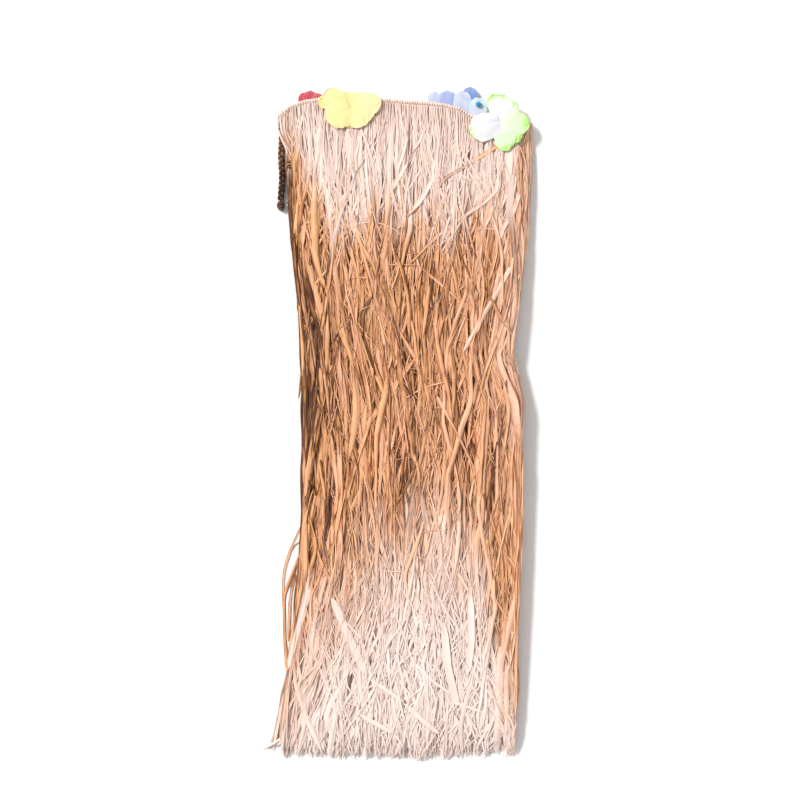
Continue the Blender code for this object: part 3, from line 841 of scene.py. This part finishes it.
def make_front(pile, tan, shaded_brown):
    """The front layer: hundreds of strands, laid one on another from the bottom up."""
    rng = np.random.default_rng(11)
    top = (
        (lay_shoulder, "top", 22),
        (lay_long, "top", 95, 0.55),
        (lay_slanted, "cross", 80),
        (lay_long, "waist", 110, 0, (0.66, 0.93)),
    )
    loose = ((lay_long, "fibre", 90, 0.3), (lay_hairs, "fibre", 90), (lay_singles, "single"))
    high = ((lay_long, "main_high", 150, 0.8), (lay_slanted, "cross", 60))
    plan = (
        # The lowest layer is dark brown as painted shade in the gaps between the strands above.
        ("raffia_under", shaded_brown, "raffia_brown", ((lay_long, "under", 170, 1),)),
        ("raffia_main_low", tan, "raffia_warm", ((lay_long, "main_low", 190, 0.9),)),
        ("raffia_main_high", tan, "raffia_warm", high),
        ("raffia_top", tan, "raffia_pale", top),
        ("raffia_hem", tan, "raffia_pale", ((lay_partial, "hem", 230, (0.16, 0.42), (0.12, 0.42)),)),
        ("raffia_loose", tan, "raffia_pale", loose),
    )
    pieces = {}
    for name, material, slot, kinds in plan:
        bunch = Bunch()
        for lay_kind, look, *counts in kinds:
            lay_kind(rng, bunch, pile, LOOKS[look], *counts)
        pieces[name] = bunch.fringe(name, material, slot)
    return pieces


def make_side(pile, material, name, slot, count, seed, tone):
    """The strands down a folded edge, from the floor up, some of them straying at the hem."""
    rng = np.random.default_rng(seed)
    bunch = Bunch()
    is_left = name == "raffia_left"
    sign, edge, band = (-1, LEFT, LEFT_BAND) if is_left else (1, RIGHT, RIGHT_BAND)
    look = LOOKS["side"]
    for k in range(count):
        end = rng.uniform(-0.014, 0.016)
        along, held = down(0.998, end)
        size = len(along)
        full = rng.uniform(*look.width)
        roam = np.clip(rng.uniform(0.1, 1) + 0.25 * drift(rng, size, 50), 0, 1.15)
        stray = rng.uniform(3, 20) if is_left and k % 5 == 0 else 0
        away = stray * unit((0.16 - along) / 0.16) ** 1.3
        x = column(edge, held) - sign * (column(band, held) * roam + full * 0.45) + sign * away
        x = x + 0.6 * drift(rng, size, 20)
        width = tapered(x, full * np.clip(1 + 0.2 * drift(rng, size, 40), 0.6, 1.4), 60, 30)
        ceiling = column(CORE_HEIGHT, held) * 0.95 + 1
        strand_tone = own_tone(rng, tone, look.spread)
        y = ground(x, along, 3.8)
        lay(rng, bunch, pile, x, y, width, look, strand_tone, None, ceiling, -sign * 0.35)
    return bunch.fringe(name, material, slot)


def make_flanks(material):
    """Strands that wrap the folded edges between the floor and the front, seen from the sides."""
    rng = np.random.default_rng(5)
    bunch = Bunch()
    look = LOOKS["flank"]
    rows = 16
    for sign, row in [(sign, row) for sign in (-1, 1) for row in range(rows)]:
        end = rng.uniform(-0.012, 0.03)
        along, held = down(0.99, end)
        size = len(along)
        left, right = front_edges(held)
        share = np.clip((row + rng.uniform(0.2, 0.8)) / rows + 0.06 * drift(rng, size, 50), 0.02, 1)
        fade = np.clip((along - end) / 0.05, 0.15, 1)
        bulge = 2.2 * np.sin(np.pi * share) + 0.5 + rng.uniform(0, 1.2)
        x = (left if sign < 0 else right) + sign * bulge
        width = tapered(x, rng.uniform(*look.width), 0, 40)
        level = column(CORE_HEIGHT, held) * 0.9 * share * fade - width * 0.4
        roll = -sign * math.radians(70) + 0.25 * drift(rng, size, 40)
        crease = np.clip(0.14 * drift(rng, size, 45), -0.2, 0.4)
        path = (x, ground(x, along, 5.5), level, np.zeros(size))
        tone = own_tone(rng, look.tone, look.spread)
        bunch.strand(rng, *path, width, crease, roll, look, tone, even=True)
    return bunch.fringe("raffia_flanks", material, "raffia_warm")


def make_underside(material):
    """The strands that the skirt rests on, pressed flat on the surface."""
    rng = np.random.default_rng(6)
    bunch = Bunch()
    look = LOOKS["rest"]
    shares = (np.arange(60) + rng.uniform(0.1, 0.9, 60)) / 60
    rng.shuffle(shares)
    for share in shares:
        x, y, along = long_path(rng, share, 0.985, rng.uniform(-0.01, 0.01), look.lean)
        width = tapered(x, strand_width(rng, look, along), 0, 25)
        flat = np.zeros(len(x))
        level = flat + rng.uniform(0.15, 0.6)
        tone = own_tone(rng, look.tone, look.spread)
        bunch.strand(rng, x, y, level, flat, width, flat, flat, look, tone, even=True)
    return bunch.fringe("raffia_underside", material, "raffia_brown")


def make_bed(material):
    """The inside of the folded skirt, dark brown as painted shade: a ribbed solid just inside the hidden
    layers.
    """
    rng = np.random.default_rng(3)
    rows, columns = 60, 150
    u = np.linspace(-1, 1, columns)
    ribs = smooth(rng.normal(0, 0.5, columns), 3)
    arch = unit(1 - np.abs(u) ** 9) ** 0.6
    points = np.empty((rows, columns * 2, 3))
    for row, place in zip(points, np.linspace(0.996, CORE_END + 0.004, rows)):
        left, right = front_edges(place)
        fade = min(1, (place - CORE_END) / 0.04 + 0.45)
        x = (left + right) / 2 + ((right - left) / 2 - 0.8) * u
        crown = column(CORE_HEIGHT, place) * fade * (1 - CORE_CROWN * np.abs(u) ** 3)
        top = np.maximum(crown * (0.25 + 0.75 * arch) - 0.6 + ribs * arch, 1)
        row[:, 0] = np.concatenate([x, x[::-1]])
        row[:, 1] = ground(row[:, 0], place, 5.4)
        row[:, 2] = np.concatenate([top, np.full(columns, 0.75)])
    bed = Bunch()
    pale = bleach_and_glare(points[..., 0], points[..., 1])
    bed.add(points, points[..., :2], stacked(0.16, pale, 0.5, 0), wrap=True)
    for row in (points[0], points[-1]):
        cap = np.stack([row[:columns], row[columns:][::-1]])
        bed.add(cap, cap[..., :2], np.array([0.3, 0.3, 0.5, 0]))
    return bed.piece("raffia_bed", material, "raffia_brown")


def frames(path):
    """The unit directions sideways and upwards along a path in space."""
    along = np.gradient(path, axis=0)
    along /= np.linalg.norm(along, axis=1)[:, None]
    side = np.cross(along, (0, 0, 1))
    side /= np.maximum(np.linalg.norm(side, axis=1)[:, None], 1e-6)
    return side, np.cross(side, along)


def resample(route, step):
    """Points at even steps along a smooth curve through a route's points."""
    route = np.asarray(route, float)
    run = travelled(route)
    spots = np.linspace(0, run[-1], int(run[-1] / step) + 1)
    width = max(3, int(6 / step) | 1)
    return stacked(*(smooth(np.interp(spots, run, line), width) for line in route.T))


def add_tube(bunch, rng, path, radius, sides, tone):
    """A round strand along a path in space, with closed ends."""
    side, top = frames(path)
    angle = np.linspace(0, math.tau, sides, endpoint=False)[:, None]
    ring = side[:, None] * np.cos(angle) + top[:, None] * np.sin(angle)
    rings = path[:, None] + ring * np.broadcast_to(radius, len(path))[:, None, None]
    along, around = travelled(path)[:, None], np.linspace(0, 3, sides)
    uv = stacked(around + rng.uniform(0, 900), along + rng.uniform(0, 900))
    tint = stacked(np.broadcast_to(tone, len(path))[:, None], 0, rng.random(), np.zeros(sides))
    bunch.add(rings, uv, tint, wrap=True)
    for end, order in ((0, 1), (-1, -1)):
        middle = np.broadcast_to(rings[end].mean(axis=0), (sides, 3))
        cap = np.stack([rings[end], middle])[::order]
        bunch.add(cap, np.stack([uv[end], uv[end]]), tint[end], wrap=True)


def waist_route():
    """The waist cord's line: the hidden back run, the middle run and the front run to the tie."""
    inset = CORD_RADIUS + 0.1
    left_end, right_end = CORD_ENDS
    back, middle, front = (CORD_LEVELS[run] for run in ("back", "middle", "front"))
    route = [(x, waist_y(x, inset), back) for x in np.linspace(right_end, left_end, 40)]
    for level, next_level, end, sign in ((back, middle, left_end, -1), (middle, front, right_end, 1)):
        turn = (next_level - level) / 2
        for angle in np.radians((-60, -30, 0, 30, 60)):
            x = end + sign * turn * math.cos(angle)
            route.append((x, waist_y(x, inset), level + turn * (1 + math.sin(angle))))
        if sign < 0:
            route.extend((x, waist_y(x, inset), middle) for x in np.linspace(left_end, right_end, 40))
    route.extend((x, waist_y(x, inset), front) for x in np.linspace(right_end, -136, 60))
    route.extend(((-138.4, 358.6, front), (-139.4, 357, front), (-139.6, 354.6, front + 0.1)))
    return route


def make_cord(material):
    """The waist cord, two plies twisted together."""
    rng = np.random.default_rng(21)
    step = 0.9
    route = resample(waist_route(), step)
    side, top = frames(route)
    bunch = Bunch()
    for ply in range(2):
        turn = np.arange(len(route)) * step / 7 * math.tau + ply * math.pi
        offset = 0.75 * (side * np.cos(turn)[:, None] + top * np.sin(turn)[:, None])
        add_tube(bunch, rng, route + offset, 0.92, 6, 0.6)
    return bunch.piece("waist_cord_twist", material, "cord_natural")


def make_loops(material):
    """The raffia looped over the waist cord, bundle by bundle, on each of its three runs."""
    rng = np.random.default_rng(22)
    bunch = Bunch()
    turn = np.radians(np.linspace(-95, 95, 11))
    u = np.linspace(-1, 1, 4)
    spots = np.arange(-138.6, front_edges(1)[1], LOOP_PITCH)
    for run, tone, x in [(run, tone, x) for run, tone in LOOP_TONES.items() for x in spots]:
        slope = (waist_y(x + 2) - waist_y(x - 2)) / 4
        right, up = np.array([1, slope]) / math.hypot(1, slope)
        width = LOOP_PITCH * rng.uniform(0.74, 0.94)
        radius = CORD_RADIUS + rng.uniform(0.15, 0.4)
        out = np.concatenate([(-2.4, -1.2), radius * np.cos(turn), (-1.2, -2.4, -3.4)])
        ends = (-radius + 0.5, -radius + 0.1), (radius - 0.2, radius - 0.8, radius - 1.5)
        rise = np.concatenate([ends[0], radius * np.sin(turn), ends[1]])
        path = np.cumsum(np.hypot(np.gradient(out), np.gradient(rise)))[:, None]
        out, rise = out[:, None], rise[:, None]
        lane = u * width / 2 + rng.uniform(-0.08, 0.08) * out
        points = stacked(
            x + right * lane - up * out,
            waist_y(x, CORD_RADIUS + 0.1) + up * lane + right * out,
            np.maximum(CORD_LEVELS[run] + rise + 0.3 * (1 - u**2) * np.tanh(rise), 0.15),
        )
        uv = stacked(lane + rng.uniform(0, FAR), path + rng.uniform(0, FAR))
        # The loops take the waist's paleness, partly bleaching and partly painted glare.
        bunch.add(points, uv, stacked(own_tone(rng, tone, 0.14), 0.85, rng.random(), np.abs(u)))
    return bunch.piece("waist_loops", material, "raffia_pale")


def make_tie(pile, material):
    """The plaited tie, three strands over and under each other, the knot that ends it and its hitch."""
    rng = np.random.default_rng(31)
    step = 0.8
    path = resample(TIE_ROUTE, step)
    path[0], path[-1] = TIE_ROUTE[0], TIE_ROUTE[-1]
    side, top = frames(path)
    run = np.arange(len(path)) * step
    plait = Bunch()
    for strand in range(3):
        turn = run / 17 * math.tau + strand * math.tau / 3
        centre = path + side * (2.3 * np.sin(turn))[:, None] + top * (1.3 * np.sin(2 * turn))[:, None]
        for wisp in range(4):
            spin = (wisp * math.tau / 4 + run / 9)[:, None]
            line = centre + 0.75 * (side * np.cos(spin) + top * np.sin(spin))
            line[:, 2] = np.maximum(line[:, 2], 1.1)
            tone = np.clip(rng.normal(0.72, 0.16) - 0.5 * ease(run / 70 - 0.35), 0.05, 1)
            add_tube(plait, rng, line, 0.95, 6, tone)
    tie = plait.piece("tie_plait", material, "tie_dark")

    knot = Bunch()
    centre = np.array(KNOT_CENTRE)
    wraps = 8
    for wrap in range(wraps):
        tilt = math.pi * wrap / wraps
        angle = np.linspace(0, math.tau, 40)
        flat = 3.9 * np.sin(angle) * math.cos(tilt) + 0.5 * np.sin(3 * angle + wrap)
        ring = stacked(3.4 * np.cos(angle), flat, 3.4 * np.sin(angle) * math.sin(tilt))
        add_tube(knot, rng, centre + ring, 1.05, 6, own_tone(rng, 0.4, 0.18))
    v = np.linspace(0, 1, 6)
    for _ in range(14):
        spread, reach = rng.uniform(-1, 1), rng.uniform(2, 4.5)
        line = stacked(
            centre[0] + (1.8 + 1.6 * v) * spread,
            centre[1] - 3 - reach * v * 0.7,
            np.maximum(centre[2] - 0.5 - 3 * v + rng.uniform(-1, 1), 0.7),
        )
        add_tube(knot, rng, line, np.linspace(0.6, 0.25, 6), 4, float(rng.uniform(0.3, 0.8)))
    end = knot.piece("tie_knot_wraps", material, "tie_dark")

    hitch = Bunch()
    height = pile.at(*np.reshape(HITCH_PLACE, (2, 1)))[0]
    for wrap in range(5):
        angle = np.linspace(0.3 + wrap, 0.3 + wrap + 0.86 * math.tau, 34)
        ring = stacked(
            3.6 * np.cos(angle) * (1 + 0.16 * np.sin(2 * angle + wrap)),
            (2.6 + 0.7 * wrap) * np.sin(angle) + 1.2 * (wrap - 2),
            2.5 * np.sin(angle + 0.7 * wrap),
        )
        line = np.array([*HITCH_PLACE, height + 1.5]) + ring
        line[:, 2] = np.maximum(line[:, 2], 1.2)
        add_tube(hitch, rng, line, 1.05, 6, float(rng.uniform(0.4, 0.9)))
    loop = hitch.piece("tie_hitch", material, "tie_dark")

    return tie, end


# Each flower's petals: x and y of the petal's middle, its radius, how high it lifts, and its tone.
# The first two flowers' petals are placed from the flower's centre.
YELLOW_CENTRE = (-60.5, 361)
YELLOW_PETALS = (
    (-2, 6, 12.8, 0.5, 0.42),
    (-1, -7, 15.6, 0.6, 0.42),
    (-28.5, 7, 7.8, 0.6, 0.05),
    (-17.5, 9.5, 13.6, 1.2, 0.35),
    (10, 8, 10.5, 0.8, 0.45),
    (21.5, 4.5, 13.8, 1.5, 0.55),
    (15, -5, 12.5, 0.7, 0.46),
    (8.5, -10, 13.2, 0.9, 0.5),
    (-10.5, -4.5, 18.3, 1.4, 0.4),
)
GREEN_CENTRE = (110, 345.5)
GREEN_PETALS = (
    (-5, 22.5, 9.5, 0.9, 0.42),
    (14.5, 15, 8.8, 0.8, 0.12),
    (2, 17.5, 13.8, 1.5, 0.04),
    (13, -12.5, 13.5, 0.7, 0.3),
    (20.5, -2, 13.8, 1.3, 0.31),
    (6.5, -20.5, 12.2, 0.9, 0.27),
    (-18.5, -6.5, 16, 1.4, -0.05),
)
BLUE_PETALS = (
    (36, 374, 7.6, 0.5, 0.7),
    (77, 378, 8.8, 1, 0.12),
    (51, 371.5, 10.6, 1, 0.38),
    (68, 371, 10.6, 0.8, 0.72),
    (86, 364, 10.4, 0.7, 0.86),
)
RED_PETALS = (
    (-113, 373, 7, 0.6, 0.35),
    (-106.5, 373.5, 8.6, 1, 0.5),
    (-98, 372, 7.2, 0.8, 0.62),
)
PETAL_ROWS, PETAL_COLUMNS = 26, 27


def petal_width(t, length, radius):
    """Half the petal's width at a share of the way from its root to its tip."""
    spot = t * length
    shoulder = length - radius
    inner = radius * (0.72 + 0.28 * ease(spot / max(shoulder, 1)))
    outer = radius * np.sqrt(unit(1 - (np.maximum(spot - shoulder, 0) / radius) ** 2))
    return np.where(spot < shoulder, inner, outer)


def make_flower(pile, name, centre, petals, material, slot, rim_tone):
    """An open cloth flower lying on the fringe: overlapping petals, domed, creased and ruffled."""
    rng = np.random.default_rng(sum(map(ord, name)))
    bunch = Bunch()
    spread = np.linspace(-1, 1, 9)
    around = np.array([(centre[0] + a * 14, centre[1] + b * 14) for a in spread for b in spread])
    around = around[around[:, 1] < waist_y(around[:, 0], 6)]
    base = float(np.percentile(pile.at(around[:, 0], around[:, 1]), 97)) + 0.9
    t = np.linspace(0, 1, PETAL_ROWS)[:, None] ** 0.8
    s = np.linspace(-1, 1, PETAL_COLUMNS)
    for order, (px, py, radius, lift, tone) in enumerate(petals):
        away = math.hypot(px, py)
        length = away + radius
        way_x, way_y = np.array([px, py]) / away
        half = petal_width(t, length, radius) * (1 + 0.035 * drift(rng, PETAL_ROWS, 6)[:, None])
        reach = t * length * (1 + 0.03 * np.sin(s * 5 + rng.uniform(0, 6)) * t)
        lane = s * half
        x = centre[0] + way_x * reach - way_y * lane
        y = centre[1] + way_y * reach + way_x * lane
        edge = np.maximum(np.abs(s), ease((t - 0.75) / 0.25))
        ruffle = np.sin(s * 7.5 + rng.uniform(0, 6)) * t * 0.55
        ruffle = ruffle + np.sin(t * 13 + rng.uniform(0, 6)) * s**3 * 0.6
        dome = lift * np.sin(np.pi * t) * (1 - s**2)
        fold = -0.5 * np.exp(-((s - rng.uniform(-0.2, 0.2)) ** 2) / 0.012) * (1 - t)
        z = base + 0.35 * order + dome + ruffle * edge + fold
        z = z - 0.12 * np.maximum(y - waist_y(x), 0)
        z = np.maximum(z, pile.at(x, y) + 0.8 * (y < waist_y(x, 3)))
        rim = ease((np.maximum(np.abs(s) * t**0.4, t) - 0.72) / 0.28)
        tones = unit(0.35 + tone + rim_tone * rim - 0.2 * (1 - t) ** 3)
        bunch.add(stacked(x, y, z), stacked(x, y), stacked(tones, 0, rng.random(), 0))
    piece = bunch.piece(name, material, slot)
    return piece


def make_petal_row(name, petals, material, slot):
    """The part of a flower that shows behind the waist: its petals above the cord."""
    rng = np.random.default_rng(sum(map(ord, name)))
    bunch = Bunch()
    t = np.linspace(0, 1, 14)[:, None]
    for order, (px, py, radius, lift, tone) in enumerate(petals):
        s = np.linspace(-0.995, 0.995, PETAL_COLUMNS)
        x = px + radius * s
        low = waist_y(x, 0.6)
        high = py + radius * np.sqrt(1 - s**2) * (1 + 0.04 * np.sin(s * 9 + order))
        shown = high - low > 0.25
        x, low, high, s = x[shown], low[shown], high[shown], s[shown]
        y = low + (high - low) * t
        wave = 0.3 * np.sin(s * 6 + rng.uniform(0, 6)) * t
        dome = lift * np.sin(np.pi * t) * np.sqrt(1 - s**2)
        z = CORD_LEVELS["front"] - 2 + 0.7 * order + dome + wave - 0.22 * (y - low)
        tones = unit(tone + 0.15 * ease((np.maximum(np.abs(s), t) - 0.7) / 0.3))
        bunch.add(stacked(x, y, z), stacked(x, y), stacked(tones, 0, 0, 0))
    piece = bunch.piece(name, material, slot)
    return piece


def make_skirt():
    tan = raffia_material("raffia_tan", WARM, 0.97, 0.5, 0.55)
    # The dark brown raffia is painted shade.
    shaded_brown = raffia_material("raffia_brown", PAINTED_SHADE_BROWN, 0.95, 0.65, 0.5)
    edge = raffia_material("raffia_edge", WARM, 0.85, 0.6, 0.5)
    loop = raffia_material("raffia_loops", WARM, 0.85, 0.5, 0.4)
    twine = raffia_material("cord_natural", CORD, 0, 0.75, 0.3)
    dark = raffia_material("tie_raffia", TIE, 0, 0.6, 0.6)

    pile = Pile()
    bed = make_bed(shaded_brown)
    make_underside(shaded_brown)
    # The left side's strands get a low tone (0.3) as painted shade, the right side's a high tone (0.7) as
    # painted light against the shade of its slope.
    left = make_side(pile, edge, "raffia_left", "raffia_warm", 46, 7, 0.3)
    right = make_side(pile, edge, "raffia_right", "raffia_brown", 60, 8, 0.7)
    make_flanks(edge)
    front = make_front(pile, tan, shaded_brown)
    tie, knot = make_tie(pile, dark)
    cord = make_cord(twine)
    make_loops(loop)
    cloth = petal_material("cloth_yellow", YELLOW)
    yellow = make_flower(pile, "petals_yellow", YELLOW_CENTRE, YELLOW_PETALS, cloth, "petal_yellow", 0.15)
    cloth = petal_material("cloth_green", GREEN)
    green = make_flower(pile, "petals_green", GREEN_CENTRE, GREEN_PETALS, cloth, "petal_green", 0.42)
    blue = make_petal_row("petals_blue", BLUE_PETALS, petal_material("cloth_blue", BLUE), "petal_blue")
    red = make_petal_row("petals_red", RED_PETALS, petal_material("cloth_red", RED), "petal_red")
    bpy.data.objects["bead_blue"].material_slots[0].material = bead_material()

    for piece, node in (
        (bed, "hidden_layers"),
        (front["raffia_main_low"], "front_fringe"),
        (front["raffia_main_high"], "over_fringe"),
        (front["raffia_top"], "cross_fringe"),
        (left, "left_fringe"),
        (right, "right_fringe"),
        (cord, "waist_cord"),
        (tie, "tie"),
        (knot, "tie_knot"),
        (yellow, "flower_yellow"),
        (green, "flower_green"),
        (blue, "flower_blue"),
        (red, "flower_red"),
    ):
        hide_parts(node)


def make_camera():
    """Straight down at the skirt, as the photo sees it."""
    target = world((-3.45, 27.6, 0))
    height, seen = 3, 0.92
    data = bpy.data.cameras.new("camera")
    data.sensor_width = 36
    data.lens = data.sensor_width * height / seen
    camera = add_object("camera", data)
    camera.location = (target[0], target[1], height)
    bpy.context.scene.camera = camera


def make_stage():
    """A pale floor, an even sky and one soft light from the upper left."""
    bpy.ops.mesh.primitive_plane_add(size=40, location=(0, 0, -0.0002))
    floor = bpy.context.object
    floor.name = "floor"
    floor.data.materials.append(floor_material())
    data = bpy.data.lights.new("key", "SUN")
    data.energy = 3.05
    data.angle = math.radians(11)
    add_object("key", data).rotation_euler = (math.radians(-28), math.radians(-38), 0)
    sky = bpy.data.worlds.new("soft_studio")
    sky.use_nodes = True
    background = sky.node_tree.nodes["Background"]
    background.inputs["Color"].default_value = (1, 0.995, 0.985, 1)
    background.inputs["Strength"].default_value = 0.62
    bpy.context.scene.world = sky
    bpy.context.scene.view_settings.view_transform = "Standard"


make_camera()
make_skirt()
make_stage()
